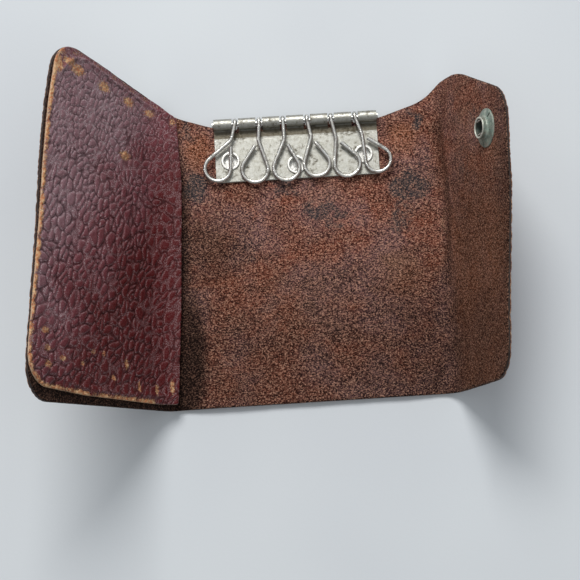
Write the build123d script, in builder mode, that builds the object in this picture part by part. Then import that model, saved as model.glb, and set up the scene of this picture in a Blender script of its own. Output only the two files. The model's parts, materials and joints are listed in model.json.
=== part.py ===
from build123d import *
import math
import os

# Trifold leather key case, lying open on its back with both flaps raised.
# X runs across the case, Y towards its scooped top edge, Z up.
# The origin is on the underside of the centre panel, below the middle of the hook plate.
# Lengths are in millimetres and angles in degrees.

os.makedirs("parts", exist_ok=True)

# --- leather -------------------------------------------------------------
leather = 1.4                  # thickness of the case leather
facing = 1.2                   # thickness of the pocket leather
bottom_y = -44.0               # straight bottom edge of the whole case
scoop_y = 42.8                 # bottom of the scoop that frees the hooks
scoop_half = 24.0              # half width of the straight part of the scoop
shoulder_y = 48.9              # top edge where the scoop meets a fold
fold_top_y = 50.2              # top end of each fold

# A fold is an arc about its hinge axis, tangent to the underside.
left_axis_x, left_axis_z, left_rest = -41.0, 3.9, 63.0
right_axis_x, right_axis_z, right_rest = 39.7, 6.2, 72.0

# --- hook plate ----------------------------------------------------------
sheet = 0.45                   # nickel sheet, folded double in front of the barrel
plate_half = 25.0              # half width of plate and barrel
plate_bottom_y = 24.8
plate_lip_y = 38.2             # top edge of the folded front layer
plate_round = 0.3              # rounding of the plate's folded edges
barrel_r = 1.75
rod_r, rod_fit = 0.6, 0.05     # rod radius and its radial clearance
rod_head_r, rod_head_h = 1.0, 0.4
rod_y, rod_z = 42.8, 3.2
slot_width = 2.1
slot_pitch = 7.35
slot_bottom_y = 40.3

# --- hooks ---------------------------------------------------------------
wire_half_w, wire_r = 0.62, 0.55    # the wire is pressed a little flat
eye_r = rod_r + rod_fit + wire_r
eye_turn = 250                 # how far the eye wraps round the rod
neck_r = 3.0                   # bend where the shank turns into the loop
loop_share = 0.985             # keeps the loop's two bends just short of meeting
tip_gap = 2.0                  # free end to neck, along the free leg
# Each hook: neck (x, y) and loop centre (x, y) from the rod, loop radius, slope, side of the shank.
hooks = [
    ((-1.5, -5.2), (-6.0, -13.6), 3.9, 2.8, -1),
    ((-0.5, -5.6), (-2.0, -14.5), 3.95, 4.0, 1),
    ((0.1, -5.8), (0.3, -14.6), 3.9, 2.8, -1),
    ((1.0, -5.6), (2.3, -13.9), 3.85, 3.2, -1),
    ((1.2, -6.4), (4.2, -14.4), 3.85, 4.0, -1),
    ((1.9, -5.9), (6.3, -13.7), 3.85, 2.8, -1),
]

# --- rivets --------------------------------------------------------------
rivets = {"left": (-20.4, 31.5), "middle": (-0.3, 29.2), "right": (20.4, 31.3)}
rivet_r, rivet_bore_r = 2.4, 2.05
rivet_rim_r, rivet_rim_h = 2.9, 0.5
rivet_head_r, rivet_head_h = 3.2, 0.45
rivet_floor_z = 1.2            # depth to which the tube is open
rivet_round = 0.24             # rounding of the rolled rim
hole_gap = 0.05                # gap between a fastener and its hole or seat

# --- snap ----------------------------------------------------------------
snap_x, snap_y = 7.0, 28.3     # where stud and socket meet with the case closed
socket_flange_r, collar_r, socket_bore_r, socket_h = 5.6, 3.15, 2.55, 2.5
flange_edge_h, flange_top_h = 0.4, 0.85
socket_floor_h = 0.35
slit_turns = (40, 250)         # a slit each side of the collar, where the springs are threaded in
slit_long, slit_wide, slit_deep = 1.7, 0.5, 1.2
slit_at, slit_h = 4.4, 0.5     # middle of a slit, from the socket's axis and seat
cap_r, cap_h, cap_edge_h = 6.2, 1.9, 0.25
post_r = 1.6                   # the cap's post, upset over the socket's floor
post_head_r, post_head_h = 2.1, 0.23
stud_base_r, stud_base_h = 4.2, 0.4
stud_neck_r, stud_bulb_r, stud_h = 1.65, 2.12, 2.45
stud_bore_r, stud_bore_h = 1.35, 1.2
eyelet_r, eyelet_h = 3.9, 0.31
eyelet_post_r, eyelet_post_h = 1.3, 1.0
spring_r, spring_offset, spring_h = 0.2, 1.95, 2.25


def flap_plane(side, axis_x, axis_z, angle):
    """The grain face of a raised flap: x across the case, y up the case, z out of the flesh side."""
    c, s = math.cos(math.radians(angle)), math.sin(math.radians(angle))
    return Plane(
        origin=(axis_x + side * axis_z * s, 0, axis_z * (1 - c)),
        x_dir=(c, 0, side * s),
        z_dir=(-side * s, 0, c),
    )


left_plane = flap_plane(-1, left_axis_x, left_axis_z, left_rest)
right_plane = flap_plane(1, right_axis_x, right_axis_z, right_rest)
stud_at = (left_axis_x - snap_x, snap_y)
socket_at = (right_axis_x - snap_x, snap_y)


def write(part, name):
    """Label a finished piece and write it to its STEP file."""
    part.label = name
    export_step(part, f"parts/{name}.step")


# --- centre panel ----------------------------------------------------------
with BuildPart() as centre_panel:
    with BuildSketch():
        with BuildLine():
            Polyline(
                (left_axis_x, shoulder_y),
                (left_axis_x, bottom_y),
                (right_axis_x, bottom_y),
                (right_axis_x, shoulder_y),
            )
            middle = Line((-scoop_half, scoop_y), (scoop_half, scoop_y))
            TangentArc(middle @ 1, (right_axis_x, shoulder_y), tangent=(1, 0))
            TangentArc(middle @ 0, (left_axis_x, shoulder_y), tangent=(-1, 0))
        make_face()
    extrude(amount=leather)
    with Locations(*[(x, y, 0) for x, y in rivets.values()]):
        Cylinder(rivet_r + hole_gap, 4 * leather, mode=Mode.SUBTRACT)
        Cylinder(rivet_head_r + hole_gap, 2 * (rivet_head_h + hole_gap), mode=Mode.SUBTRACT)
write(centre_panel.part, "centre_panel")

# --- folds -----------------------------------------------------------------
for name, side, axis_x, axis_z, angle in (
    ("left_fold", -1, left_axis_x, left_axis_z, left_rest),
    ("right_fold", 1, right_axis_x, right_axis_z, right_rest),
):
    with BuildPart() as fold:
        with BuildSketch(Plane.XZ.offset(-bottom_y)):
            with BuildLine():
                outer = CenterArc((axis_x, axis_z), axis_z, -90, side * angle)
                inner = CenterArc((axis_x, axis_z), axis_z - leather, -90, side * angle)
                Line(outer @ 0, inner @ 0)
                Line(outer @ 1, inner @ 1)
            make_face()
        extrude(amount=bottom_y - fold_top_y)
    write(fold.part, name)

# --- left flap and its pocket ----------------------------------------------
with BuildPart() as left_flap:
    with BuildSketch(left_plane):
        with BuildLine():
            FilletPolyline(
                (-0.1, 50.6),
                (-48.9, 57.6),
                (-72.4, -44.6),
                (-0.1, bottom_y),
                radius=[0, 6.5, 10, 0],
                close=True,
            )
        make_face()
    extrude(amount=leather)
    with Locations(left_plane.location * Pos(*stud_at, 0)):
        Cylinder(eyelet_post_r + hole_gap, 4 * leather, mode=Mode.SUBTRACT)
    with Locations(left_plane.location * Pos(*stud_at, leather)):
        Cylinder(eyelet_r + 2 * hole_gap, 2 * (eyelet_h + hole_gap), mode=Mode.SUBTRACT)
write(left_flap.part, "left_flap")

with BuildPart() as pocket_facing:
    with BuildSketch(left_plane.offset(leather)):
        with BuildLine():
            FilletPolyline(
                (-0.8, 50.2),
                (-48.6, 57.1),
                (-71.0, -40.2),
                (-0.8, -41.6),
                radius=[0, 6, 9, 0],
                close=True,
            )
        make_face()
    extrude(amount=facing)
write(pocket_facing.part, "pocket_facing")

# --- right flap --------------------------------------------------------------
with BuildPart() as right_flap:
    with BuildSketch(right_plane):
        with BuildLine():
            FilletPolyline(
                (0.1, bottom_y),
                (39.2, bottom_y),
                (49.6, 33.0),
                (13.0, 51.0),
                (0.1, 51.5),
                radius=[0, 8, 10, 25, 0],
                close=True,
            )
        make_face()
    extrude(amount=leather)
    with Locations(right_plane.location * Pos(*socket_at, 0)):
        Cylinder(post_r + hole_gap, 4 * leather, mode=Mode.SUBTRACT)
write(right_flap.part, "right_flap")

# --- hook plate: a doubled sheet rolled into a slotted barrel -----------------
plate_z = leather
front_z = leather + 2 * sheet
slots = [slot_pitch * (n - 2.5) for n in range(len(hooks))]

with BuildPart() as hook_plate:
    with BuildSketch(Plane.YZ.offset(-plate_half)):
        with Locations(((plate_bottom_y + plate_lip_y) / 2, plate_z + sheet)):
            RectangleRounded(plate_lip_y - plate_bottom_y, 2 * sheet, plate_round)
        with Locations(((plate_lip_y - barrel_r + rod_y) / 2, plate_z + sheet / 2)):
            Rectangle(rod_y - plate_lip_y + barrel_r, sheet)
        with Locations((rod_y, rod_z)):
            Circle(barrel_r)
            Circle(rod_r + rod_fit, mode=Mode.SUBTRACT)
    extrude(amount=2 * plate_half)
    slot_top_y = rod_y + 2 * barrel_r
    with Locations(*[(x, (slot_bottom_y + slot_top_y) / 2, rod_z) for x in slots]):
        Box(slot_width, slot_top_y - slot_bottom_y, 4 * barrel_r, mode=Mode.SUBTRACT)
    with Locations(*[(x, y, plate_z) for x, y in rivets.values()]):
        Cylinder(rivet_r + hole_gap, 8 * sheet, mode=Mode.SUBTRACT)
write(hook_plate.part, "hook_plate")

with BuildPart() as hook_rod:
    with Locations(Plane((0, rod_y, rod_z), z_dir=(1, 0, 0))):
        Cylinder(rod_r, 2 * (plate_half + rod_head_h))
    head_x = plate_half + 2 * rod_fit + rod_head_h / 2
    with Locations(*[Plane((x, rod_y, rod_z), z_dir=(1, 0, 0)) for x in (-head_x, head_x)]):
        Cylinder(rod_head_r, rod_head_h)
write(hook_rod.part, "hook_rod")


# --- key hooks ---------------------------------------------------------------
def loop_corners(neck, centre, radius, side):
    """The neck, the two corners of the lines that hold the loop's round end, and the free tip."""
    axis = Vector(*centre) - Vector(*neck)
    along, half = axis.normalized(), math.asin(radius / axis.length)
    across = Vector(-along.Y, along.X) * -side
    far = Vector(*neck) + along * (axis.length + radius)
    spread = across * (axis.length + radius) * math.tan(half)
    tip = Vector(*neck) + (along * math.cos(half) + across * math.sin(half)) * tip_gap
    return [neck, *((v.X, v.Y) for v in (far - spread, far + spread, tip))]


for number, (slot_x, (neck, centre, radius, slope, side)) in enumerate(zip(slots, hooks), 1):
    c, s = math.cos(math.radians(slope)), math.sin(math.radians(slope))
    start = (slot_x, rod_y - eye_r * s, rod_z + eye_r * c)
    hook_plane = Plane(start, x_dir=(1, 0, 0), z_dir=(0, -s, c))
    wire_plane = Plane(start, x_dir=(1, 0, 0), z_dir=(0, -c, -s))
    with BuildPart() as key_hook:
        with BuildLine(hook_plane) as wire:
            FilletPolyline(
                (0, 0),
                *loop_corners(neck, centre, radius, side),
                radius=[neck_r, loop_share * radius, loop_share * radius],
            )
        with BuildSketch(wire_plane):
            Ellipse(wire_half_w, wire_r)
        sweep(path=wire.wires()[0])
        with BuildSketch(wire_plane):
            Ellipse(wire_half_w, wire_r)
        revolve(axis=Axis((0, rod_y, rod_z), (-1, 0, 0)), revolution_arc=eye_turn)
    write(key_hook.part, f"key_hook_{number}")

# --- rivets --------------------------------------------------------------------
for name, (x, y) in rivets.items():
    with BuildPart() as rivet:
        with BuildSketch(Plane((x, y, 0), x_dir=(1, 0, 0), z_dir=(0, -1, 0))):
            with BuildLine():
                Polyline(
                    (0, rivet_floor_z),
                    (0, hole_gap),
                    (rivet_head_r, hole_gap),
                    (rivet_head_r, rivet_head_h),
                    (rivet_r, rivet_head_h),
                    (rivet_r, front_z),
                    (rivet_rim_r, front_z),
                    (rivet_rim_r, front_z + rivet_rim_h),
                    (rivet_bore_r, front_z + rivet_rim_h),
                    (rivet_bore_r, rivet_floor_z),
                    close=True,
                )
            make_face()
        revolve(axis=Axis((x, y, 0), (0, 0, 1)))
        fillet(rivet.edges().filter_by(GeomType.CIRCLE).group_by(Axis.Z)[-1], rivet_round)
    write(rivet.part, f"rivet_{name}")

# --- snap -----------------------------------------------------------------------
def turning(placed):
    """A sketch plane of (radius, height) and the axis to revolve it about, at a placement."""
    plane = Plane(placed)
    sketch = Plane(plane.origin, x_dir=plane.x_dir, z_dir=-plane.y_dir)
    return sketch, Axis(plane.origin, plane.z_dir)


cap_profile, cap_axis = turning(right_plane.location * Pos(*socket_at, 0))
post_top = leather + socket_floor_h + 0.02 + post_head_h
with BuildPart() as snap_cap:
    with BuildSketch(cap_profile):
        with BuildLine():
            Polyline(
                (0, post_top),
                (post_head_r, post_top),
                (post_head_r, post_top - post_head_h),
                (post_r, post_top - post_head_h),
                (post_r, 0),
                (cap_r - cap_edge_h, 0),
                (cap_r, -cap_edge_h),
            )
            dome = Spline((cap_r, -cap_edge_h), (0, -cap_h), tangents=((-0.3, -1), (-1, 0)))
            Line(dome @ 1, (0, post_top))
        make_face()
    revolve(axis=cap_axis)
write(snap_cap.part, "snap_cap")

socket_location = right_plane.location * Pos(*socket_at, leather)
socket_profile, socket_axis = turning(socket_location)
with BuildPart() as snap_socket:
    with BuildSketch(socket_profile):
        with BuildLine():
            FilletPolyline(
                (post_r + hole_gap, 0),
                (socket_flange_r, 0),
                (socket_flange_r, flange_edge_h),
                (collar_r + 0.4, flange_top_h),
                (collar_r, flange_top_h + 0.45),
                (collar_r, socket_h),
                (socket_bore_r, socket_h),
                (socket_bore_r, socket_floor_h),
                (post_r + hole_gap, socket_floor_h),
                radius=[0, 0, 0.2, 0.3, 0.3, 0.24, 0.24, 0, 0],
                close=True,
            )
        make_face()
    revolve(axis=socket_axis)
    slits = [socket_location * Rot(0, 0, turn) * Pos(slit_at, 0, slit_h) for turn in slit_turns]
    with Locations(*slits):
        Box(slit_long, slit_wide, slit_deep, mode=Mode.SUBTRACT)
write(snap_socket.part, "snap_socket")

with BuildPart() as snap_springs:
    half_chord = math.sqrt((socket_bore_r - 0.05) ** 2 - (spring_offset + spring_r) ** 2)
    for offset in (-spring_offset, spring_offset):
        with Locations(socket_location * Pos(0, offset, spring_h) * Rot(0, 90, 0)):
            Cylinder(spring_r, 2 * half_chord)
write(snap_springs.part, "snap_springs")

# The stud stands on the grain side of the left flap; its eyelet is under the pocket.
stud_profile, stud_axis = turning(left_plane.location * Pos(*stud_at, 0) * Rot(180, 0, 0))
with BuildPart() as snap_stud:
    with BuildSketch(stud_profile):
        with BuildLine():
            FilletPolyline(
                (stud_bore_r, 0),
                (stud_base_r, 0),
                (stud_base_r, stud_base_h),
                (stud_neck_r, stud_base_h),
                (stud_neck_r, stud_base_h + 0.75),
                (stud_bulb_r, stud_base_h + 1.35),
                (stud_bulb_r - 0.1, stud_h),
                (0, stud_h),
                (0, stud_bore_h),
                (stud_bore_r, stud_bore_h),
                radius=[0, 0, 0.2, 0.15, 0.2, 0.4, 0.6, 0, 0, 0],
                close=True,
            )
        make_face()
    revolve(axis=stud_axis)
write(snap_stud.part, "snap_stud")

eyelet_profile, eyelet_axis = turning(left_plane.location * Pos(*stud_at, leather))
with BuildPart() as stud_eyelet:
    with BuildSketch(eyelet_profile):
        with BuildLine():
            Polyline(
                (0, -0.02),
                (eyelet_r, -0.02),
                (eyelet_r, -0.02 - eyelet_h),
                (eyelet_post_r, -0.02 - eyelet_h),
                (eyelet_post_r, -leather - eyelet_post_h),
                (0, -leather - eyelet_post_h),
                close=True,
            )
        make_face()
    revolve(axis=eyelet_axis)
write(stud_eyelet.part, "stud_eyelet")
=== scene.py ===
import json
import math

import bpy
import numpy as np
from mathutils import Matrix, Vector
from mathutils.geometry import delaunay_2d_cdt
from mathutils.kdtree import KDTree


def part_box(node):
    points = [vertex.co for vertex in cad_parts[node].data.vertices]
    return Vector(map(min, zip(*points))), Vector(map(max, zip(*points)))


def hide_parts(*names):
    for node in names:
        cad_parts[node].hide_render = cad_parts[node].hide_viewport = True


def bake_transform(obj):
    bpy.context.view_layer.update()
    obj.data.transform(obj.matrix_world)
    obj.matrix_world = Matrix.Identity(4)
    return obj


# The looks of a trifold leather key case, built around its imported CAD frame.
# Lengths in this script are millimetres unless a name says otherwise; MM turns them into metres.
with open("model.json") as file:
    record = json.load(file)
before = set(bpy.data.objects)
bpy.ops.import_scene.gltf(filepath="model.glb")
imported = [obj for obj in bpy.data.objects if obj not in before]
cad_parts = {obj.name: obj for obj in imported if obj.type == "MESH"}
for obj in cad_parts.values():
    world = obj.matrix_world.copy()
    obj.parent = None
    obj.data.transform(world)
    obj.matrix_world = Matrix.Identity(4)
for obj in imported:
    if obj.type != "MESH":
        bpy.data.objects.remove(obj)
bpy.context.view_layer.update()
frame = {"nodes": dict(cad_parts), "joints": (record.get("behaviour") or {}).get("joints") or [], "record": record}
MM = 0.001


def srgb(red, green, blue):
    """A colour given as 0 to 255 display values, as the linear RGBA that shaders take."""
    parts = [c / 255 for c in (red, green, blue)]
    return (*[c / 12.92 if c <= 0.04045 else ((c + 0.055) / 1.055) ** 2.4 for c in parts], 1.0)


# --- camera, floor and light -------------------------------------------------
CAMERA_AT = Vector((-3.65, -93.3, 500.0)) * MM
LOOKS_AT = Vector((-4.6, -9.2, 0.0)) * MM
CAMERA_ROLL = math.radians(-3.45)
CAMERA_LENS = 103.6
KEY_LIGHT_AT = (-0.14, 0.8, 0.95)    # metres
KEY_LIGHT_SIZE = 0.55                # metres
KEY_LIGHT_WATTS = 11.8
KEY_LIGHT_COLOUR = (1.0, 0.985, 0.965)
ROOM_COLOUR = (0.95, 0.98, 1.0, 1.0)
ROOM_LOW, ROOM_HIGH = 0.26, 0.54     # strength of the room's light, from the horizon down and overhead


def make_camera():
    forward = (LOOKS_AT - CAMERA_AT).normalized()
    right = forward.cross(Vector((0, 1, 0))).normalized()
    up = right.cross(forward)
    cos, sin = math.cos(CAMERA_ROLL), math.sin(CAMERA_ROLL)
    turned = Matrix((right * cos + up * sin, up * cos - right * sin, -forward)).transposed()
    camera = bpy.data.objects.new("camera", bpy.data.cameras.new("camera"))
    camera.data.lens = CAMERA_LENS
    camera.data.clip_start = 0.01
    camera.matrix_world = Matrix.Translation(CAMERA_AT) @ turned.to_4x4()
    bpy.context.scene.collection.objects.link(camera)
    bpy.context.scene.camera = camera


def make_key_light():
    """One soft round light that faces the origin."""
    lamp = bpy.data.lights.new("key_light", "AREA")
    lamp.shape = "DISK"
    lamp.size = KEY_LIGHT_SIZE
    lamp.energy = KEY_LIGHT_WATTS
    lamp.color = KEY_LIGHT_COLOUR
    light = bpy.data.objects.new("key_light", lamp)
    light.location = KEY_LIGHT_AT
    light.rotation_euler = (-Vector(KEY_LIGHT_AT)).to_track_quat("-Z", "Y").to_euler()
    bpy.context.scene.collection.objects.link(light)


def make_world():
    """A soft white room: bright overhead, dimmer towards the horizon."""
    world = bpy.data.worlds.new("studio")
    world.use_nodes = True
    nodes, links = world.node_tree.nodes, world.node_tree.links
    split = nodes.new("ShaderNodeSeparateXYZ")
    links.new(nodes.new("ShaderNodeTexCoord").outputs["Generated"], split.inputs[0])
    height = nodes.new("ShaderNodeMapRange")
    height.inputs["To Min"].default_value = ROOM_LOW
    height.inputs["To Max"].default_value = ROOM_HIGH
    links.new(split.outputs["Z"], height.inputs["Value"])
    links.new(height.outputs["Result"], nodes["Background"].inputs["Strength"])
    nodes["Background"].inputs["Color"].default_value = ROOM_COLOUR
    bpy.context.scene.world = world


make_camera()
make_key_light()
make_world()
bpy.context.scene.view_settings.view_transform = "Standard"


# --- material building -------------------------------------------------------
class Paint:
    """A node material, with short calls for the nodes that it is made of."""

    def __init__(self, name, **settings):
        self.material = bpy.data.materials.new(name)
        self.material.use_nodes = True
        self.nodes = self.material.node_tree.nodes
        self.links = self.material.node_tree.links
        self.shader = self.nodes["Principled BSDF"]
        for socket, value in settings.items():
            self.shader.inputs[socket.replace("_", " ")].default_value = value

    def put(self, socket, value):
        if isinstance(value, bpy.types.NodeSocket):
            self.links.new(value, socket)
        else:
            socket.default_value = value

    def add(self, kind, inputs, **settings):
        node = self.nodes.new("ShaderNode" + kind)
        for key, value in settings.items():
            setattr(node, key, value)
        for key, value in inputs.items():
            self.put(node.inputs[key], value)
        return node

    def value(self, name):
        return self.add("Attribute", {}, attribute_name=name).outputs["Fac"]

    def sheet_place(self):
        """Place on the flat sheet of leather, in millimetres, which stays put when the sheet bends."""
        return self.add("Attribute", {}, attribute_name="place").outputs["Vector"]

    def solid_place(self):
        """Place on a rigid part, in millimetres."""
        found = self.add("TexCoord", {}).outputs["Object"]
        return self.add("VectorMath", {0: found, "Scale": 1 / MM}, operation="SCALE").outputs[0]

    def stretch(self, place, by):
        return self.add("Mapping", {"Vector": place, "Scale": by}).outputs[0]

    def noise(self, place, scale, detail=3.0, roughness=0.55, distortion=0.0):
        inputs = {
            "Vector": place, "Scale": scale, "Detail": detail,
            "Roughness": roughness, "Distortion": distortion,
        }
        return self.add("TexNoise", inputs).outputs["Fac"]

    def cells(self, place, scale):
        return self.add("TexVoronoi", {"Vector": place, "Scale": scale}).outputs["Distance"]

    def sum(self, a, b):
        return self.add("Math", {0: a, 1: b}, operation="ADD").outputs[0]

    def times(self, a, b):
        return self.add("Math", {0: a, 1: b}, operation="MULTIPLY").outputs[0]

    def step(self, value, low, high, to_low=0.0, to_high=1.0):
        """value from low to high becomes to_low to to_high, smoothly."""
        inputs = {
            "Value": value, "From Min": low, "From Max": high, "To Min": to_low, "To Max": to_high,
        }
        return self.add("MapRange", inputs, interpolation_type="SMOOTHSTEP").outputs["Result"]

    def mix(self, share, first, second):
        """The first colour, with that share of the second."""
        node = self.add("Mix", {}, data_type="RGBA")
        for index, value in ((0, share), (6, first), (7, second)):
            self.put(node.inputs[index], value)
        return node.outputs[2]

    def bump(self, height, depth, below=None):
        """Bump of that depth in millimetres."""
        inputs = {"Height": height, "Distance": depth * MM, "Strength": 1.0}
        if below is not None:
            inputs["Normal"] = below
        return self.add("Bump", inputs).outputs["Normal"]

    def finish(self, colour, roughness, normal):
        self.put(self.shader.inputs["Base Color"], colour)
        self.put(self.shader.inputs["Roughness"], roughness)
        self.put(self.shader.inputs["Normal"], normal)
        return self.material


def grain_leather(name, grey_of_wear_and_sheen, mid, shade_and_deep_dye, crease, tan, pale, edge_wear=0.0):
    """Dyed pebble-grain leather: grey where rubbed and under a painted sheen, deep red where the dye is deep
    and in painted shade, painted shade in the creases, a painted highlight on the pebbles' rims, and tan
    where the dye has gone."""
    p = Paint(name, Specular_IOR_Level=0.2)
    place = p.sheet_place()
    patches = p.noise(place, 0.07, 3.0, 0.5)
    mottle = p.noise(place, 0.8, 4.0, 0.65)
    pores = p.noise(place, 3.2, 3.0, 0.65)
    # The depth value mixes deep dye with painted shade; where it is low the leather takes the grey of wear and of
    # a painted sheen.
    depth = p.sum(p.value("shade_and_deep_dye"), p.times(p.sum(patches, -0.5), 0.6))
    colour = p.mix(p.step(depth, 0.0, 0.55), grey_of_wear_and_sheen, mid)
    colour = p.mix(p.step(depth, 0.4, 0.95), colour, shade_and_deep_dye)
    colour = p.mix(p.step(mottle, 0.35, 0.75, 0.0, 0.4), colour, shade_and_deep_dye)
    pebble = p.value("crease")
    # Painted shade in the creases between the pebbles.
    colour = p.mix(p.step(pebble, 0.0, 0.65, 0.7, 0.0), colour, crease)
    # A painted highlight along the pebbles' rims, strongest where the leather is grey.
    rim = p.times(p.step(pebble, 0.35, 0.6), p.step(pebble, 0.7, 0.95, 1.0, 0.0))
    rim_highlight = p.times(p.sum(rim, 0.25), p.step(pores, 0.45, 0.62))
    rim_highlight = p.times(rim_highlight, p.step(depth, 0.1, 0.9, 0.6, 0.3))
    colour = p.mix(rim_highlight, colour, p.mix(0.35, grey_of_wear_and_sheen, (1, 1, 1, 1)))
    colour = p.mix(p.step(pores, 0.3, 0.46, 0.45, 0.0), colour, crease)
    edges = p.step(p.value("edge"), 0.0, 2.0, edge_wear, 0.0)
    ragged = p.times(p.sum(p.noise(place, 2.2, 4.0, 0.8), -0.5), 2.8)
    lost = p.step(p.sum(p.sum(p.value("wear"), edges), ragged), 0.46, 0.66)
    bare = p.mix(p.step(p.noise(place, 1.2, 3.0), 0.4, 0.62), tan, pale)
    colour = p.mix(lost, colour, bare)
    roughness = p.sum(p.step(mottle, 0.2, 0.8, 0.36, 0.52), p.times(lost, 0.3))
    fine = p.bump(p.cells(p.stretch(place, (1.0, 1.35, 1.0)), 2.0), 0.07)
    fine = p.bump(pores, 0.09, fine)
    return p.finish(colour, roughness, p.bump(p.times(lost, -1.0), 0.06, fine))


def flesh_leather(name):
    """The rough side of the leather: brown fibres, with streaks, stains, scuffs, a darkened edge and painted
    shade.
    """
    p = Paint(name, Specular_IOR_Level=0.1)
    place = p.sheet_place()
    fibres = p.noise(p.stretch(place, (0.85, 1.2, 1.0)), 2.0, 2.0, 0.6, 0.6)
    specks = p.noise(place, 2.4, 1.0, 0.5)
    drift = p.noise(place, 0.06, 3.0, 0.55)
    blotch = p.noise(place, 0.25, 4.0, 0.65)
    colour = p.mix(p.step(drift, 0.38, 0.62), srgb(126, 68, 52), srgb(122, 90, 92))
    colour = p.mix(p.step(blotch, 0.3, 0.7, 0.0, 0.5), colour, srgb(90, 54, 46))
    streaks = p.noise(p.stretch(place, (0.4, 1.0, 1.0)), 0.13, 5.0, 0.65, 0.8)
    colour = p.mix(p.step(streaks, 0.46, 0.62, 0.0, 0.5), colour, srgb(62, 36, 32))
    colour = p.mix(p.step(streaks, 0.3, 0.44, 0.45, 0.0), colour, srgb(156, 88, 62))
    colour = p.mix(p.value("orange"), colour, srgb(150, 92, 60))
    scuffed = p.times(p.value("wear"), p.step(blotch, 0.3, 0.6, 0.4, 1.0))
    colour = p.mix(scuffed, colour, srgb(156, 118, 94))
    soot = p.sum(p.value("stain"), p.times(p.sum(p.noise(place, 0.5, 4.0, 0.75), -0.5), 1.5))
    sooted = p.step(soot, 0.2, 0.8)
    colour = p.mix(p.times(sooted, 0.8), colour, srgb(52, 56, 60))
    # Painted shade, near black, where the sheet's shade value is high.
    shade = p.times(p.value("shade_and_deep_dye"), p.step(blotch, 0.2, 0.7, 0.8, 1.0))
    colour = p.mix(shade, colour, srgb(24, 12, 10))
    rim = p.step(p.sum(p.value("edge"), p.times(p.sum(blotch, -0.5), 1.2)), 0.0, 0.8, 0.8, 0.0)
    colour = p.mix(rim, colour, srgb(44, 30, 26))
    colour = p.mix(p.step(fibres, 0.38, 0.5, 0.78, 0.0), colour, srgb(18, 8, 6))
    colour = p.mix(p.step(fibres, 0.5, 0.64, 0.0, 0.5), colour, srgb(208, 154, 128))
    colour = p.mix(p.step(specks, 0.56, 0.7, 0.0, 0.5), colour, srgb(226, 176, 150))
    colour = p.mix(p.step(specks, 0.32, 0.46, 0.7, 0.0), colour, srgb(18, 8, 6))
    colour = p.mix(p.times(sooted, 0.35), colour, srgb(58, 62, 66))
    # The painted shade again, over the fibres and specks.
    colour = p.mix(p.times(shade, 0.8), colour, srgb(18, 8, 6))
    normal = p.bump(fibres, 0.3, p.bump(specks, 0.16))
    return p.finish(colour, p.step(fibres, 0.2, 0.8, 0.95, 0.82), normal)


def cut_edge(name, dark, fibre, bare, bare_share):
    """The cut edge of the leather: layered fibres, partly rubbed bare."""
    p = Paint(name)
    place = p.sheet_place()
    layers = p.noise(p.stretch(place, (0.8, 0.8, 4.0)), 1.4, 4.0, 0.7)
    patches = p.noise(place, 0.45, 4.0, 0.65)
    colour = p.mix(p.step(layers, 0.35, 0.7), dark, fibre)
    lost = p.step(p.sum(patches, p.sum(p.value("wear"), bare_share - 1.0)), 0.32, 0.52)
    colour = p.mix(lost, colour, p.mix(p.step(layers, 0.3, 0.75), fibre, bare))
    return p.finish(colour, p.step(layers, 0.2, 0.8, 0.62, 0.88), p.bump(layers, 0.3))


def old_nickel(name, bright, dull, grime_and_shade, grime_share, roughness, band=None):
    """Worn nickel plating: pits, a dull film, grime in patches, and along a band in Y painted shade with grime."""
    p = Paint(name, Metallic=1.0)
    place = p.solid_place()
    film = p.noise(place, 0.35, 4.0, 0.65)
    smears = p.noise(place, 1.1, 4.0, 0.7)
    pits = p.step(p.cells(place, 1.7), 0.12, 0.3)
    specks = p.step(p.noise(place, 3.1, 3.0, 0.7), 0.6, 0.72)
    colour = p.mix(p.step(smears, 0.3, 0.72), bright, dull)
    dirt = p.sum(film, p.times(p.sum(smears, -0.5), 0.5))
    dirt = p.step(dirt, 0.62 - grime_share, 0.86 - grime_share)
    colour = p.mix(p.times(dirt, 0.75), colour, grime_and_shade)
    colour = p.mix(p.times(specks, 0.7), colour, grime_and_shade)
    # The band is painted shade with grime, for a recess.
    if band is not None:
        low, high = band
        along = p.add("SeparateXYZ", {0: place}).outputs["Y"]
        along = p.sum(along, p.times(p.sum(smears, -0.5), 0.3))
        kept = p.times(p.step(along, low, low + 0.5), p.step(along, high - 0.5, high, 1.0, 0.0))
        colour = p.mix(p.times(kept, 0.8), colour, grime_and_shade)
    rough = p.sum(p.step(smears, 0.25, 0.8, roughness - 0.08, roughness + 0.12), p.times(dirt, 0.2))
    p.put(p.shader.inputs["Metallic"], p.step(dirt, 0.2, 1.0, 1.0, 0.55))
    normal = p.bump(pits, 0.035, p.bump(smears, 0.03))
    return p.finish(colour, rough, p.bump(p.times(specks, -1.0), 0.03, normal))


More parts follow.
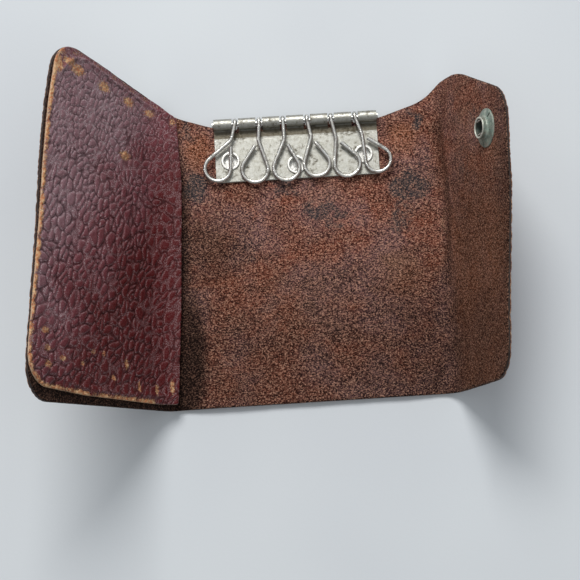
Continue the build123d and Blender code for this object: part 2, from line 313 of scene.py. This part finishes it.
def verdigris(name, bore_at, bore_axis):
    """Snap metal: nickel over brass, gone grey-green, with the socket's rim rubbed bright and painted shade,
    near black, in its bore. bore_at and bore_axis are the foot and the direction of the socket's bore."""
    p = Paint(name, Metallic=1.0)
    place = p.solid_place()
    crust = p.noise(place, 1.2, 5.0, 0.7)
    film = p.noise(place, 0.5, 3.0, 0.6)
    colour = p.mix(p.step(film, 0.35, 0.7), srgb(186, 190, 178), srgb(142, 152, 142))
    green = p.step(crust, 0.42, 0.64)
    crusted = p.mix(p.step(film, 0.3, 0.7), srgb(146, 166, 152), srgb(112, 130, 122))
    colour = p.mix(green, colour, crusted)
    colour = p.mix(p.step(p.noise(place, 2.6, 3.0), 0.6, 0.7, 0.0, 0.8), colour, srgb(60, 46, 36))
    away = p.add("VectorMath", {0: place, 1: bore_at}, operation="SUBTRACT").outputs[0]
    along = p.add("VectorMath", {0: away, 1: bore_axis}, operation="DOT_PRODUCT").outputs["Value"]
    across = p.add("VectorMath", {0: away, 1: bore_axis}, operation="CROSS_PRODUCT").outputs[0]
    radius = p.add("VectorMath", {0: across}, operation="LENGTH").outputs["Value"]
    rim = p.times(p.step(along, 2.1, 2.4), p.step(radius, 2.9, 3.4, 1.0, 0.0))
    colour = p.mix(p.times(rim, 0.85), colour, srgb(226, 226, 214))
    # Painted shade, near black, down the socket's bore.
    bore = p.times(p.step(along, -0.4, -0.2), p.step(radius, 2.5, 2.6, 1.0, 0.0))
    colour = p.mix(bore, colour, srgb(12, 12, 11))
    p.put(p.shader.inputs["Metallic"], p.step(green, 0.0, 1.0, 0.9, 0.25))
    return p.finish(colour, p.step(crust, 0.3, 0.7, 0.38, 0.78), p.bump(crust, 0.09))


# --- geometry helpers --------------------------------------------------------
LATTICE = 64                   # noise repeats after this many features
EDGE_ROUND = 0.38              # rounding of a leather sheet's cut edges
EDGE_RINGS = (0.1, 0.24, 0.45, 0.8)    # rows of points along a cut edge, by their distance from it
ROW_SHARE = 0.866              # spacing of a grid's rows, as a share of the spacing along them
HOLE_SIDES = 28
HOLE_MIDDLE = 0.99             # share of a hole's radius within which its triangles are left out
SHARP_ANGLE = math.radians(55)


def ease(share):
    """A share from 0 to 1 with a slow start and end."""
    return share * share * (3 - 2 * share)


def smooth(value, low, high):
    """0 below low, 1 above high and a smooth rise between them."""
    return ease(np.clip((value - low) / (high - low), 0, 1))


def lattice_noise(x, y, size, seed):
    """Smooth noise from 0 to 1 at places x, y, with features about size across."""
    table = np.random.default_rng(seed).random((LATTICE, LATTICE))
    column, row = np.floor(x / size).astype(int), np.floor(y / size).astype(int)
    share_x, share_y = ease(x / size - column), ease(y / size - row)
    here_x, next_x = column % LATTICE, (column + 1) % LATTICE
    here_y, next_y = row % LATTICE, (row + 1) % LATTICE
    low = table[here_x, here_y] * (1 - share_x) + table[next_x, here_y] * share_x
    high = table[here_x, next_y] * (1 - share_x) + table[next_x, next_y] * share_x
    return low * (1 - share_y) + high * share_y


def blobs(x, y, spots):
    """The strongest of soft round spots, each given as x, y, radius in x, radius in y and strength."""
    found = np.zeros_like(x)
    for at_x, at_y, wide, tall, strength in spots:
        away = np.hypot((x - at_x) / wide, (y - at_y) / tall)
        found = np.maximum(found, strength * (1 - smooth(away, 0.25, 1.0)))
    return found


def line_distance(x, y, line):
    """Distance from each place to a line through points."""
    closest = np.full(x.shape, np.inf)
    for (ax, ay), (bx, by) in zip(line, line[1:]):
        dx, dy = bx - ax, by - ay
        t = np.clip(((x - ax) * dx + (y - ay) * dy) / (dx * dx + dy * dy), 0, 1)
        closest = np.minimum(closest, np.hypot(x - ax - t * dx, y - ay - t * dy))
    return closest


def rounded(corners, spacing):
    """A closed outline through corners (x, y, radius), as evenly spaced points, anticlockwise."""
    points = []
    for i, (x, y, radius) in enumerate(corners):
        here = np.array((x, y))
        before = np.array(corners[i - 1][:2]) - here
        after = np.array(corners[(i + 1) % len(corners)][:2]) - here
        if radius == 0:
            points.append(here)
            continue
        before, after = before / np.linalg.norm(before), after / np.linalg.norm(after)
        half = math.acos(np.clip(before @ after, -1, 1)) / 2
        start, end = here + before * radius / math.tan(half), here + after * radius / math.tan(half)
        middle = here + (before + after) / np.linalg.norm(before + after) * radius / math.sin(half)
        turn = math.pi - 2 * half
        for share in np.linspace(0, 1, max(4, int(radius * turn / spacing) + 2)):
            a, b = math.sin((1 - share) * turn), math.sin(share * turn)
            points.append(middle + (a * (start - middle) + b * (end - middle)) / math.sin(turn))
    loop = np.array(points)
    ends = np.roll(loop, -1, axis=0)
    lengths = np.linalg.norm(ends - loop, axis=1)
    resampled = []
    for start, end, length in zip(loop, ends, lengths):
        count = max(1, round(length / spacing))
        resampled.extend(start + (end - start) * k / count for k in range(count))
    loop = np.array(resampled)
    area = np.sum(loop[:, 0] * np.roll(loop[:, 1], -1) - loop[:, 1] * np.roll(loop[:, 0], -1))
    return loop if area > 0 else loop[::-1]


def inside(x, y, loop):
    """Whether each place is inside a closed outline."""
    found = np.zeros(x.shape, bool)
    for (ax, ay), (bx, by) in zip(loop, np.roll(loop, -1, axis=0)):
        crosses = (ay > y) != (by > y)
        if crosses.any():
            found ^= crosses & (x < (bx - ax) * (y - ay) / (by - ay + 1e-12) + ax)
    return found


def to_mesh(name, points, faces, materials=(), face_materials=None, values=None):
    """An object from points in millimetres. values names numbers or vectors for the points."""
    mesh = bpy.data.meshes.new(name)
    mesh.from_pydata((np.asarray(points) * MM).tolist(), [], faces)
    for material in materials:
        mesh.materials.append(material)
    if face_materials is not None:
        mesh.polygons.foreach_set("material_index", face_materials)
    for key, value in (values or {}).items():
        kind, field = ("FLOAT_VECTOR", "vector") if value.ndim == 2 else ("FLOAT", "value")
        attribute = mesh.attributes.new(key, kind, "POINT")
        attribute.data.foreach_set(field, value.astype(np.float32).ravel())
    mesh.shade_smooth()
    mesh.set_sharp_from_angle(angle=SHARP_ANGLE)
    mesh.validate()
    made = bpy.data.objects.new(name, mesh)
    bpy.context.scene.collection.objects.link(made)
    return made


def nearest(points):
    """A function that gives a place's distance from the nearest of some flat points."""
    tree = KDTree(len(points))
    for i, (x, y) in enumerate(points):
        tree.insert((x, y, 0), i)
    tree.balance()
    return lambda x, y: tree.find((x, y, 0))[2]


def hole_loop(hole_x, hole_y, radius):
    """The edge of a round hole, clockwise, so that the leather is on its left."""
    turn = -np.arange(HOLE_SIDES) * math.tau / HOLE_SIDES
    return np.stack([hole_x + radius * np.cos(turn), hole_y + radius * np.sin(turn)], 1)


def edge_rings(loop):
    """Rows of points along a loop, on its left."""
    tangent = np.roll(loop, -1, axis=0) - np.roll(loop, 1, axis=0)
    inward = np.stack([-tangent[:, 1], tangent[:, 0]], 1) / np.linalg.norm(tangent, axis=1)[:, None]
    return [loop + inward * distance for distance in EDGE_RINGS]


def off_holes(x, y, holes, share=1.0):
    """Whether each place is clear of the holes, taken at that share of their radius."""
    clear = np.ones(x.shape, bool)
    for hole_x, hole_y, radius in holes:
        clear &= np.hypot(x - hole_x, y - hole_y) > radius * share
    return clear


def grid_inside(outline, holes, cell, to_rim):
    """A grid of near-equal triangles' corners, inside an outline and clear of every edge."""
    (x0, y0), (x1, y1) = outline.min(0), outline.max(0)
    x, y = np.meshgrid(np.arange(x0, x1, cell), np.arange(y0, y1, cell * ROW_SHARE))
    x = x + (np.arange(len(y)) % 2)[:, None] * cell / 2
    x, y = x.ravel(), y.ravel()
    kept = inside(x, y, outline) & off_holes(x, y, holes)
    near_edge = EDGE_RINGS[-1] + cell * 0.6
    kept &= np.array([ok and to_rim(a, b) > near_edge for a, b, ok in zip(x, y, kept)])
    return np.stack([x[kept], y[kept]], 1)


def sheet(name, outline, cell, low, high, place, looks, materials, joined=None, holes=()):
    """A sheet of leather cut to an outline, with round holes given as x, y and radius.
    low and high give the height of its two faces at flat places.
    place turns flat places and heights into points.
    joined(x, y) is true along an edge that butts against the next sheet, which stays square.
    The materials are for the high face, the low face and the cut edges."""
    loops = [outline, *[hole_loop(*hole) for hole in holes]]
    rim_points = np.concatenate(loops)
    to_rim = nearest(rim_points)
    rings = [ring for loop in loops for ring in edge_rings(loop)]
    flat = np.concatenate([rim_points, *rings, grid_inside(outline, holes, cell, to_rim)])
    count = len(rim_points)
    border, first = [], 0
    for loop in loops:
        border += [(first + i, first + (i + 1) % len(loop)) for i in range(len(loop))]
        first += len(loop)
    verts, _, faces, _, _, _ = delaunay_2d_cdt([Vector(point) for point in flat], border, [], 1, 1e-6)
    flat = np.array([tuple(point) for point in verts])
    middles = flat[np.array(faces)].mean(1)
    off = off_holes(*middles.T, holes, HOLE_MIDDLE)
    triangles = [tuple(face) for face, kept in zip(faces, off) if kept]
    if joined is None:
        edge = np.array([to_rim(*point) for point in flat])
        edge[:count] = 0
    else:
        to_cut = nearest(rim_points[~joined(*rim_points.T)])
        edge = np.array([to_cut(*point) for point in flat])
    x, y = flat.T
    drop = EDGE_ROUND * (1 - np.sqrt(1 - np.clip(1 - edge / EDGE_ROUND, 0, 1) ** 2))
    top, under = high(x, y) - drop, low(x, y) + drop
    heights = np.concatenate([top, under, (top[:count] + under[:count]) / 2])
    all_x, all_y = np.concatenate([x, x, x[:count]]), np.concatenate([y, y, y[:count]])
    n = len(flat)
    quads = []
    for i, j in border:
        quads += [(j, i, 2 * n + i, 2 * n + j), (2 * n + j, 2 * n + i, n + i, n + j)]
    polygons = triangles + [tuple(n + i for i in reversed(face)) for face in triangles] + quads
    kinds = [0] * len(triangles) + [1] * len(triangles) + [2] * len(quads)
    values = {
        "place": np.stack([all_x, all_y, heights], 1),
        "edge": np.concatenate([edge, edge, edge[:count]]),
    }
    for key, look in looks.items():
        values[key] = look(all_x, all_y)
    return to_mesh(name, place(all_x, all_y, heights), polygons, materials, kinds, values)


# --- the case's cross-section, from the CAD frame ----------------------------
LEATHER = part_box("centre_panel")[1].z / MM
FACING = 1.2                   # thickness of the pocket leather
joints = {joint["name"]: joint for joint in frame["joints"]}


class Fold:
    """How the leather lies at one fold: flat on the case, round the joint's axis, then up the flap."""

    def __init__(self, joint_name, side):
        joint = joints[joint_name]
        self.side = side
        self.axis_x, self.axis_z = joint["pos_m"][0] / MM, joint["pos_m"][2] / MM
        self.rest = math.radians(-joint["range_deg"][0])
        self.radius = self.axis_z - LEATHER / 2
        self.length = self.radius * self.rest
        self.flap_start = self.axis_x + side * self.length

    def place(self, x, y, height):
        """Points of the folded case, from places on the flat leather and heights above its outside."""
        beyond = self.side * (x - self.axis_x)
        turn = np.clip(beyond / self.radius, 0, self.rest)
        on_case, on_flap = np.minimum(beyond, 0), np.maximum(beyond - self.length, 0)
        arm = self.axis_z - height
        across = self.axis_x + self.side * (on_case + arm * np.sin(turn) + on_flap * np.cos(turn))
        up = self.axis_z - arm * np.cos(turn) + on_flap * np.sin(turn)
        return np.stack([across, y, up], 1)


left = Fold("left_flap_fold", -1)
right = Fold("right_flap_fold", 1)


def on_left(x):
    """Place on the flat leather of a place on the left flap, measured from the flap's start."""
    return left.flap_start + x


def on_right(x):
    """The same for the right flap."""
    return right.flap_start + x


# --- leather -----------------------------------------------------------------
# Each grain's colours: a grey for wear and painted sheen, a mid red, a deep red for deep dye and painted shade, a
# near black for painted shade in the creases, then a tan and a pale tan for bare leather.
grain = grain_leather(
    "burgundy_grain", srgb(140, 104, 112), srgb(114, 56, 64), srgb(84, 12, 15), srgb(30, 8, 10),
    srgb(180, 116, 78), srgb(206, 170, 130),
)
outer_grain = grain_leather(
    "outer_grain", srgb(128, 90, 94), srgb(104, 54, 60), srgb(78, 22, 26), srgb(30, 9, 11),
    srgb(160, 104, 70), srgb(190, 152, 116), edge_wear=0.6,
)
flesh = flesh_leather("flesh_side")
dark_edge = cut_edge("dark_cut_edge", srgb(30, 24, 22), srgb(62, 46, 40), srgb(142, 114, 94), 0.76)
tan_edge = cut_edge("tan_cut_edge", srgb(96, 62, 50), srgb(176, 136, 108), srgb(222, 196, 164), 1.05)

SHOULDER_Y = 48.7              # top edge at the left fold
BOTTOM_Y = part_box("centre_panel")[0].y / MM
RIVETS = [
    tuple((low + high) / 2 / MM for low, high in zip(*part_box(name)))[:2]
    for name in ("rivet_left", "rivet_middle", "rivet_right")
]
RIVET_HOLE = 2.45              # radius of a rivet's hole
RIVET_SEAT, SEAT_DEPTH = 3.25, 0.55    # radius and depth of the seat for its flange
SNAP_X, SNAP_Y = 32.7, 28.3    # the snap's socket on the right flap
STUD_X = -48.0                 # the snap's stud on the left flap
PEBBLE_LONG, PEBBLE_ACROSS = 4.4, 2.3    # spacing of the grain's pebbles
PEBBLE_LEAN = math.radians(48)
PEBBLE_JITTER = 0.48
SEAM = 1e-6                    # how near the left fold's axis counts as on it


def at_seam(x, y):
    """True along the edge where the two halves of the case leather meet."""
    return np.abs(x - left.axis_x) < SEAM


def pebble_height(x, y):
    """From 0 in the creases between the grain's pebbles to 1 on their tops."""
    finer = 1.0 + 0.3 * smooth(y, 0.0, 45.0)
    warp_x = (x + 78.0) * finer + 2.6 * lattice_noise(x, y, 7.0, 51) + lattice_noise(x, y, 2.6, 54)
    warp_y = (y - 22.0) * finer + 2.2 * lattice_noise(x, y, 6.0, 52)
    warp_y += 0.8 * lattice_noise(x, y, 2.2, 55)
    cos, sin = math.cos(PEBBLE_LEAN), math.sin(PEBBLE_LEAN)
    u, v = (warp_x * cos + warp_y * sin) / PEBBLE_LONG, (warp_y * cos - warp_x * sin) / PEBBLE_ACROSS
    columns, rows = [np.arange(math.floor(c.min()) - 2, c.max() + 3) for c in (u, v)]
    seeds = np.stack([c.ravel() for c in np.meshgrid(columns, rows)], 1)
    seeds += np.random.default_rng(53).uniform(-PEBBLE_JITTER, PEBBLE_JITTER, seeds.shape)
    tree = KDTree(len(seeds))
    for i, (a, b) in enumerate(seeds):
        tree.insert((a, b, 0), i)
    tree.balance()
    found = [tree.find_n((a, b, 0), 2) for a, b in zip(u, v)]
    gap = np.array([second[2] - first[2] for first, second in found])
    faint = 0.55 * smooth(lattice_noise(x, y, 2.4, 56), 0.35, 0.8)
    return np.maximum(1 - (1 - np.clip(gap / 0.55, 0, 1)) ** 2, faint)


pebble_cache = {}


def pebbles(x, y):
    """pebble_height, worked out once for each set of places."""
    key = (len(x), round(float(x.sum()), 3))
    if key not in pebble_cache:
        pebble_cache[key] = pebble_height(x, y)
    return pebble_cache[key]


def outer_relief(x, y):
    """The outside's pebbled grain, as the depth of its creases."""
    return 0.3 * (1 - pebbles(x, y))


def nubuck(x, y):
    """The flesh side's fine unevenness."""
    return 0.16 * (lattice_noise(x, y, 1.3, 11) - 0.5) + 0.12 * (lattice_noise(x, y, 3.1, 12) - 0.5)


def no_value(x, y):
    return np.zeros_like(x)


def panel_bow(x, y):
    """The centre panel's gentle waves, flat below the plate and its hooks."""
    clear = smooth(-y, -22.0, -8.0) * smooth(np.minimum(x - left.axis_x, right.axis_x - x), 0.0, 12.0)
    return clear * (0.55 * lattice_noise(x, y, 24.0, 3) + 0.25 * lattice_noise(x, y, 9.0, 4))


def flap_bow(fold, x, y, amount, seed, stud_x):
    """A flap's own bends, which die out at its fold and at its half of the snap."""
    away = np.maximum(fold.side * (x - fold.flap_start), 0)
    waves = lattice_noise(x, y, 34.0, seed) + 0.35 * lattice_noise(x, y, 13.0, seed + 1) - 0.6
    clear = smooth(np.hypot(x - fold.flap_start - stud_x, y - SNAP_Y), 6.0, 18.0)
    return smooth(away, 0, 30) * clear * amount * waves


def main_bow(x, y):
    """Bends of the centre panel and the right flap, whose lower corner curls inwards."""
    curl = 2.3 * smooth(-y, -12.0, 38.0) * (np.maximum(x - right.flap_start, 0) / 40.0) ** 2
    return panel_bow(x, y) + flap_bow(right, x, y, 0.9, 31, SNAP_X) + curl


def rivet_seats(x, y):
    """The leather's outside, cut back for the rivets' flanges."""
    away = np.minimum.reduce([np.hypot(x - at_x, y - at_y) for at_x, at_y in RIVETS])
    return SEAT_DEPTH * (1 - smooth(away, RIVET_SEAT, RIVET_SEAT + 0.3))


CREASE = [    # the line that the right fold has worn into the flesh side
    (on_right(-2.0), 38.0),
    (on_right(1.5), 11.5),
    (on_right(-2.0), -4.0),
    (on_right(-4.5), -15.0),
    (on_right(-4.5), -34.0),
]


def crease_share(x, y, width):
    """1 on the crease, dying out over that width."""
    wander = 1.5 * (lattice_noise(x, y, 7.0, 21) - 0.5)
    return np.exp(-((line_distance(x + wander, y, CREASE) / width) ** 2))


def main_stain(x, y):
    """Dark stains with wandering outlines."""
    warp_x = x + 5.0 * (lattice_noise(x, y, 5.0, 22) - 0.5)
    warp_y = y + 5.0 * (lattice_noise(x, y, 5.0, 23) - 0.5)
    return blobs(warp_x, warp_y, [
        (-33.5, 40.0, 5.5, 5.0, 0.5), (-31.5, 24.5, 7.5, 7.5, 0.75), (-26.0, 25.5, 5.0, 4.0, 0.55),
        (-4.8, 22.5, 6.5, 5.0, 0.6), (4.7, 14.0, 8.0, 7.0, 0.6), (11.0, 11.0, 6.0, 6.0, 0.45),
        (33.0, 20.0, 9.0, 10.0, 0.7), (30.0, 10.0, 9.0, 8.0, 0.55), (35.5, 40.4, 3.4, 3.4, 0.8),
        (-18.0, 4.0, 10.0, 6.0, 0.3), (16.0, -6.0, 9.0, 7.0, 0.25), (38.0, 28.0, 5.0, 12.0, 0.3),
        (on_right(27.0), 34.0, 8.0, 7.0, 0.4), (on_right(14.0), 24.0, 10.0, 12.0, 0.35),
    ])


def main_painted_shade(x, y):
    """Painted shade on the flesh side: a shadow along the valley under the facing's free edge, shade along the
    fold's crease, and darker towards the bottom, left of centre and on the right flap.
    """
    # Painted shadow of the facing's free edge along the left fold's valley, and shade spots left of centre and at
    # the lower right.
    valley = blobs(x, y, [
        (-39.0, -28.0, 13.0, 34.0, 1.3), (-38.5, 8.0, 7.5, 38.0, 0.95),
        (-29.0, 3.0, 18.0, 20.0, 0.42), (40.0, -38.0, 12.0, 22.0, 0.5),
    ])
    lower = 0.36 * (1 - smooth(y, -30.0, 12.0))
    lower += 0.16 * smooth(x, 8.0, 40.0) * (1 - smooth(y, -30.0, 10.0))
    flap = 0.34 * smooth(x, right.flap_start, right.flap_start + 10) * (1 - smooth(y, 8.0, 34.0))
    flap += 0.25 * smooth(x, on_right(32.0), on_right(43.0))
    fold_shade = 0.45 * crease_share(x, y, 3.2)
    return np.clip(np.maximum.reduce([valley, lower, flap, fold_shade]), 0, 1)


def main_orange(x, y):
    """Where the flesh side keeps a warmer brown."""
    warm = blobs(x, y, [
        (-30.0, 35.0, 8.0, 9.0, 0.45), (-22.0, 30.0, 6.0, 6.0, 0.3), (32.2, 36.0, 7.5, 7.5, 0.5),
        (-28.0, 8.0, 9.0, 10.0, 0.22), (30.0, -8.0, 14.0, 12.0, 0.25),
    ])
    flap = 0.6 * smooth(x, right.flap_start - 6, right.flap_start + 8) * (1 - smooth(y, -5.0, 34.0))
    return np.maximum(warm, flap)


def main_wear(x, y):
    """Where the flesh side is scuffed pale."""
    warp_x = x + 4.0 * (lattice_noise(x, y, 4.0, 24) - 0.5)
    warp_y = y + 4.0 * (lattice_noise(x, y, 4.0, 25) - 0.5)
    return blobs(warp_x, warp_y, [
        (29.0, -3.0, 9.0, 7.0, 0.45), (0.0, -14.0, 26.0, 16.0, 0.12), (8.0, 20.0, 12.0, 5.0, 0.15),
        (on_right(20.0), 33.0, 12.0, 9.0, 0.22), (on_right(38.0), 20.0, 7.0, 12.0, 0.3),
        (on_right(34.0), -4.0, 10.0, 14.0, 0.15), (on_right(-2.0), 9.0, 1.2, 5.5, 0.6),
    ])


main_loop = rounded([
    (left.axis_x, BOTTOM_Y, 0),
    (20.0, BOTTOM_Y + 0.2, 90),
    (on_right(0.0), -43.7, 60),
    (on_right(39.0), -43.9, 12),
    (on_right(43.6), 5.0, 120),
    (on_right(47.3), 35.2, 11),
    (on_right(14.0), 50.8, 34),
    (on_right(-1.0), 51.4, 9),
    (38.0, 46.6, 20),
    (25.5, 42.6, 14),
    (-25.5, 42.6, 14),
    (-35.0, 45.8, 22),
    (left.axis_x, SHOULDER_Y, 0),
], 0.5)
main_looks = {
    "stain": main_stain, "shade_and_deep_dye": main_painted_shade, "orange": main_orange, "wear": main_wear, "crease": pebbles,
}
main_leather = sheet(
    "case_leather", main_loop, 0.6,
    lambda x, y: main_bow(x, y) + np.maximum(outer_relief(x, y), rivet_seats(x, y)),
    lambda x, y: LEATHER + main_bow(x, y) + nubuck(x, y) - 0.16 * crease_share(x, y, 1.8),
    right.place, main_looks, (flesh, outer_grain, dark_edge),
    joined=at_seam,
    holes=[(x, y, RIVET_HOLE) for x, y in RIVETS],
)
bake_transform(main_leather)
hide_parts("centre_panel", "right_fold", "right_flap")


def left_bow(x, y):
    return flap_bow(left, x, y, 0.9, 41, STUD_X)


left_loop = rounded([
    (left.axis_x, SHOULDER_Y, 0),
    (on_left(-1.0), 51.9, 10),
    (on_left(-26.0), 56.3, 60),
    (on_left(-49.6), 59.9, 12),
    (on_left(-57.4), 34.0, 120),
    (on_left(-70.2), -45.0, 8.5),
    (on_left(-10.0), -44.2, 80),
    (left.axis_x, BOTTOM_Y, 0),
], 0.5)
left_looks = {
    "stain": no_value,
    # The left cover's flesh side is all in painted shade and shows only as the dark strip below the facing; the
    # same value makes its outer grain deep red.
    "shade_and_deep_dye": lambda x, y: np.ones_like(x),
    "orange": no_value,
    "wear": no_value,
    "crease": pebbles,
}
left_leather = sheet(
    "left_cover_leather", left_loop, 0.6,
    lambda x, y: left_bow(x, y) + outer_relief(x, y),
    lambda x, y: LEATHER + left_bow(x, y) + nubuck(x, y),
    left.place, left_looks, (flesh, outer_grain, dark_edge),
    joined=at_seam,
)
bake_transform(left_leather)
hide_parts("left_fold", "left_flap")

# --- pocket facing -----------------------------------------------------------
# The facing lies on the left flap, then leaves it in a wide arc that ends in a free edge
# above the fold.
FACING_LOW = LEATHER + 0.05    # height of its underside on the flap
ARC_START, ARC_RADIUS = on_left(-9.5), 15.5
ARC_END_SLOPE = math.radians(6)


def facing_place(x, y, height):
    """Points of the raised pocket leather, from places on the flat leather and heights."""
    on_flap = left.place(np.minimum(x, ARC_START), y, height)
    turn = np.clip((x - ARC_START) / ARC_RADIUS, 0, left.rest - ARC_END_SLOPE)
    slope = left.rest - turn
    start = left.place(np.full_like(x, ARC_START), y, np.full_like(x, FACING_LOW))
    rise = height - FACING_LOW
    across = start[:, 0] + ARC_RADIUS * (math.sin(left.rest) - np.sin(slope)) + np.sin(slope) * rise
    up = start[:, 2] - ARC_RADIUS * (np.cos(slope) - math.cos(left.rest)) + np.cos(slope) * rise
    on_arc = np.stack([across, y, up], 1)
    return np.where((x < ARC_START)[:, None], on_flap, on_arc)


facing_loop = rounded([
    (-39.8, 45.4, 1.5),
    (on_left(-2.0), 50.8, 20),
    (on_left(-26.0), 55.4, 60),
    (on_left(-49.8), 59.0, 9.5),
    (on_left(-56.8), 36.0, 120),
    (on_left(-71.0), -40.6, 8),
    (on_left(-44.0), -42.2, 60),
    (-43.4, -42.5, 0.8),
    (-41.1, -14.0, 160),
    (-38.9, 26.0, 120),
], 0.45)
# The facing's top and bottom edges are turned over, which shows as a ridge.
TOP_RIDGE = [(on_left(x), y) for x, y in (
    (-49.0, 50.0), (-46.0, 52.9), (-43.5, 54.6), (-38.0, 55.3), (-28.5, 53.4), (-22.0, 52.1),
    (-12.0, 50.4), (-5.0, 48.8), (-1.2, 47.5), (2.5, 46.4), (5.0, 45.6),
)]
BOTTOM_RIDGE = [(on_left(x), y) for x, y in (
    (-66.0, -33.5), (-63.0, -35.8), (-57.6, -37.5), (-49.0, -39.6), (-38.0, -40.6), (-22.0, -40.4),
    (-12.0, -40.1), (1.0, -40.2),
)]


def ridge(x, y, line, width, height):
    """A soft ridge of that width and height along a line."""
    wander = 0.5 * (lattice_noise(x, y, 3.0, 61) - 0.5)
    away = line_distance(x, y + wander, line)
    return height * np.exp(-((away / width) ** 2))


def top_strip(x, y):
    """1 on the strip between the top ridge and the facing's top edge."""
    xs, ys = zip(*TOP_RIDGE)
    line_y = np.interp(x, xs, ys)
    return smooth(y - line_y, 0.0, 0.8) * (1 - smooth(x, on_left(4.0), on_left(6.0)))


def facing_relief(x, y):
    """Height of the pebbles, the ridges and the imprint of the snap on the facing."""
    depth = 0.6 * (0.7 + 0.3 * smooth(-x, 40.0, 70.0)) * (0.65 + 0.35 * smooth(-y, -50.0, 0.0))
    relief = depth * (pebbles(x, y) - 0.85) * (1 - 0.7 * top_strip(x, y))
    relief += ridge(x, y, TOP_RIDGE, 0.55, 0.45) + ridge(x, y, BOTTOM_RIDGE, 0.55, 0.42)
    relief -= 0.25 * top_strip(x, y)
    imprint = np.abs(np.hypot(x - on_left(-42.0), y - 51.0) - 3.4)
    return relief + 0.16 * np.exp(-((imprint / 0.6) ** 2))


def facing_dye_and_sheen(x, y):
    """How deep the facing's red is: from 0, grey where the dye is rubbed and where a sheen is painted at the upper
    left, to 1, a deep red that darkens towards the lower right.
    """
    drift = 0.25 * (lattice_noise(x, y, 11.0, 81) - 0.5)
    # The slope across the facing paints a sheen at the upper left; the strip along the top edge is darker dye.
    share = 0.1 + 1.05 * smooth(x - 0.9 * y, -115.0, -35.0) + 0.3 * top_strip(x, y) + drift
    return np.clip(share, 0, 1)


# Spots on the facing where the dye has gone, measured from the flap's start.
WORN_SPOTS = [
    (-41.7, 51.5, 5.5, 3.0, 1.0), (-45.5, 53.0, 5.0, 2.4, 0.95), (-28.5, 49.5, 5.2, 2.8, 1.0),
    (-15.6, 47.8, 5.0, 2.6, 0.95), (-5.1, 46.3, 4.0, 2.2, 0.85), (-18.8, 30.7, 4.6, 2.4, 1.0),
    (3.4, 44.2, 1.8, 2.6, 0.8), (-51.0, 51.5, 4.0, 4.5, 1.1), (-61.9, -25.7, 3.2, 1.7, 0.9),
    (-61.0, -30.5, 2.8, 1.7, 0.8), (-54.4, -32.7, 2.6, 1.3, 0.95), (-61.0, -35.0, 3.4, 2.0, 0.8),
    (-22.9, -32.0, 1.8, 2.6, 0.95), (-29.8, -36.4, 1.6, 1.8, 0.95), (-16.6, -37.9, 1.6, 2.6, 0.9),
    (-7.5, -38.3, 1.6, 2.8, 0.95), (-1.0, -37.5, 1.4, 3.6, 1.0), (-39.6, -29.7, 1.6, 1.4, 0.75),
    (-34.6, -29.9, 1.6, 1.4, 0.75), (-45.0, -33.4, 1.6, 1.2, 0.85),
]


def facing_wear(x, y):
    """Where the dye has gone: spots, the facing's outer edges and the top of its folded strip."""
    loop_x, loop_y = facing_loop.T
    outer = (loop_x < on_left(-9.0)) & ((loop_x < on_left(-48.0)) | (loop_y < 0))
    to_outer = nearest(facing_loop[outer])
    away = np.array([to_outer(a, b) for a, b in zip(x, y)])
    patchy = 0.45 + 0.75 * lattice_noise(x, y, 2.6, 92)
    rim = (1 - smooth(away, 0.3, 1.9)) * patchy
    spots = 0.78 * blobs(x, y, [(on_left(a), *rest) for a, *rest in WORN_SPOTS])
    strip = 0.4 * top_strip(x, y) * smooth(lattice_noise(x, y, 3.2, 91), 0.35, 0.75)
    return np.maximum.reduce([rim, spots, strip])


facing = sheet(
    "pocket_facing_leather", facing_loop, 0.45,
    lambda x, y: FACING_LOW + left_bow(x, y),
    lambda x, y: LEATHER + FACING + left_bow(x, y) + facing_relief(x, y),
    facing_place, {"shade_and_deep_dye": facing_dye_and_sheen, "crease": pebbles, "wear": facing_wear},
    (grain, flesh, tan_edge),
)
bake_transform(facing)
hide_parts("pocket_facing")

# --- metal -------------------------------------------------------------------
UNDER_BARREL = (38.4, 41.2)    # the strip of the plate in Y under the barrel: painted shade in its recess, with grime
plate_metal = old_nickel(
    "nickel_plate", srgb(184, 184, 178), srgb(164, 162, 152), srgb(78, 68, 48), 0.10, 0.46,
    band=UNDER_BARREL,
)
wire_metal = old_nickel(
    "nickel_wire", srgb(236, 236, 232), srgb(190, 187, 180), srgb(70, 62, 54), 0.08, 0.30,
)
rivet_metal = old_nickel(
    "rivet_metal", srgb(240, 240, 236), srgb(206, 204, 198), srgb(58, 50, 42), 0.04, 0.4,
)
to_socket = frame["nodes"]["snap_socket"].matrix_world.inverted()
on_axis = right.place(
    np.full(2, on_right(SNAP_X)), np.full(2, SNAP_Y), np.array([LEATHER, LEATHER + 1.0]),
)
socket_foot, socket_above = [to_socket @ (Vector(point) * MM) / MM for point in on_axis]
snap_metal = verdigris("snap_metal", socket_foot, socket_above - socket_foot)
METALS = {
    "nickel_plate": plate_metal,
    "nickel_wire": wire_metal,
    "rivet_metal": rivet_metal,
    "snap_metal": snap_metal,
}
for entry in frame["record"]["subparts"]:
    metal = METALS.get(entry["material_slot"])
    if metal is None:
        continue
    node = frame["nodes"][entry["node"]]
    node.data.materials.clear()
    node.data.materials.append(metal)


# --- floor -------------------------------------------------------------------
def paper():
    """Plain pale paper, faintly uneven."""
    p = Paint("paper_floor")
    place = p.solid_place()
    drift = p.step(p.noise(place, 0.01, 2.0), 0.3, 0.7)
    colour = p.mix(drift, srgb(214, 219, 223), srgb(208, 213, 218))
    return p.finish(colour, 0.9, p.bump(p.noise(place, 1.0, 2.0), 0.02))


FLOOR_HALF = 1500.0
FLOOR_Z = -0.05                # just below the case, so that their faces stay apart
corners = [
    (side_x * FLOOR_HALF, side_y * FLOOR_HALF, FLOOR_Z)
    for side_x, side_y in ((-1, -1), (1, -1), (1, 1), (-1, 1))
]
floor = to_mesh("floor", corners, [(0, 1, 2, 3)], [paper()])
